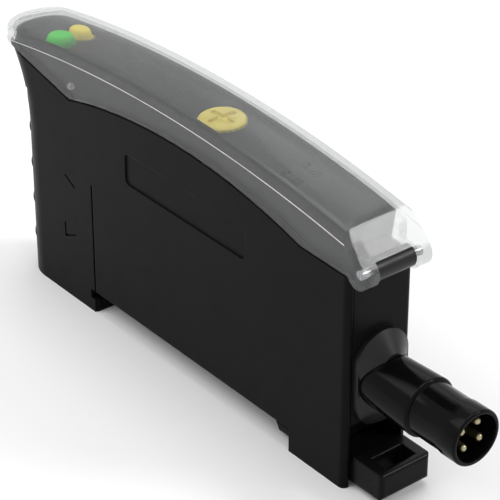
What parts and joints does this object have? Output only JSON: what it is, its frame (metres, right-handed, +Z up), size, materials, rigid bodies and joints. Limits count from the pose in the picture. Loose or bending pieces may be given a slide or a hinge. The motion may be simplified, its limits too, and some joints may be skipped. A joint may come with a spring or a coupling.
{
  "type": "fibre optic sensor amplifier",
  "caption": "Slim rail-mounted amplifier for plastic optical fibres with a hinged clear cover, gain knob, status lights, fibre ports behind a sliding gate and a round rear connector.",
  "frame": {"origin": "middle of the rail seat, on the face that rests on the rail", "axes": "+X from the round front to the connector, +Y across the slim body, +Z up from the rail"},
  "size_m": [0.0884, 0.0104, 0.0389],
  "materials": {
    "black_body": "fine matte",
    "black_clip": "fine matte",
    "black_connector": "satin",
    "clear_plastic": "clear, slightly smoky, polished",
    "steel": "ground",
    "dark_panel": "fine matte",
    "yellow_plastic": "satin",
    "blue_plastic": "satin",
    "green_lens": "clear, lit",
    "yellow_lens": "clear, lit",
    "dark_slider": "matte",
    "switch_shell": "pressed sheet",
    "green_board": "coated laminate",
    "pale_chip": "satin",
    "red_lens": "clear",
    "dark_lens": "clear dark",
    "chip_black": "moulded",
    "tan_ceramic": "fired",
    "gold_pin": "plated",
    "seal_rubber": "smooth"
  },
  "bodies": {
    "housing": {"housing_tub": "black_body", "side_lid": "black_body", "top_panel": "dark_panel", "hinge_pin": "steel", "gain_potentiometer": "blue_plastic", "green_light_pipe": "green_lens", "yellow_light_pipe": "yellow_lens", "switch_bodies": "switch_shell", "circuit_board": "green_board", "status_leds": "pale_chip", "fibre_block": "dark_panel", "emitter": "red_lens", "photodiode": "dark_lens", "microcontroller": "chip_black", "signal_amplifier": "chip_black", "filter_capacitors": "tan_ceramic", "connector_body": "black_connector", "connector_insert": "dark_panel", "contact_pins": "gold_pin", "connector_seal": "seal_rubber"},
    "cover": {"clear_cover": "clear_plastic"},
    "knob": {"gain_knob": "yellow_plastic"},
    "mode_slider": {"mode_switch": "dark_slider"},
    "delay_slider": {"delay_switch": "dark_slider"},
    "gate": {"fibre_gate": "black_body"},
    "clip": {"rail_clip": "black_clip"}
  },
  "joints": [
    {"name": "cover_hinge", "type": "hinge", "parent": "housing", "child": "cover", "pos_m": [0.0349, 0, 0.02735], "axis": [0, 1, 0], "range_deg": [0, 100]},
    {"name": "knob_turn", "type": "hinge", "parent": "housing", "child": "knob", "pos_m": [0.0045, 0, 0.0315], "axis": [0, 0, 1], "continuous": true},
    {"name": "mode_slide", "type": "slide", "parent": "housing", "child": "mode_slider", "axis": [1, 0, 0], "range_m": [-0.0006, 0.0006]},
    {"name": "delay_slide", "type": "slide", "parent": "housing", "child": "delay_slider", "axis": [1, 0, 0], "range_m": [-0.0006, 0.0006]},
    {"name": "gate_slide", "type": "slide", "parent": "housing", "child": "gate", "axis": [0, 0, 1], "range_m": [0, 0.002]},
    {"name": "clip_slide", "type": "slide", "parent": "housing", "child": "clip", "axis": [1, 0, 0], "range_m": [-0.0031, 0]}
  ]
}
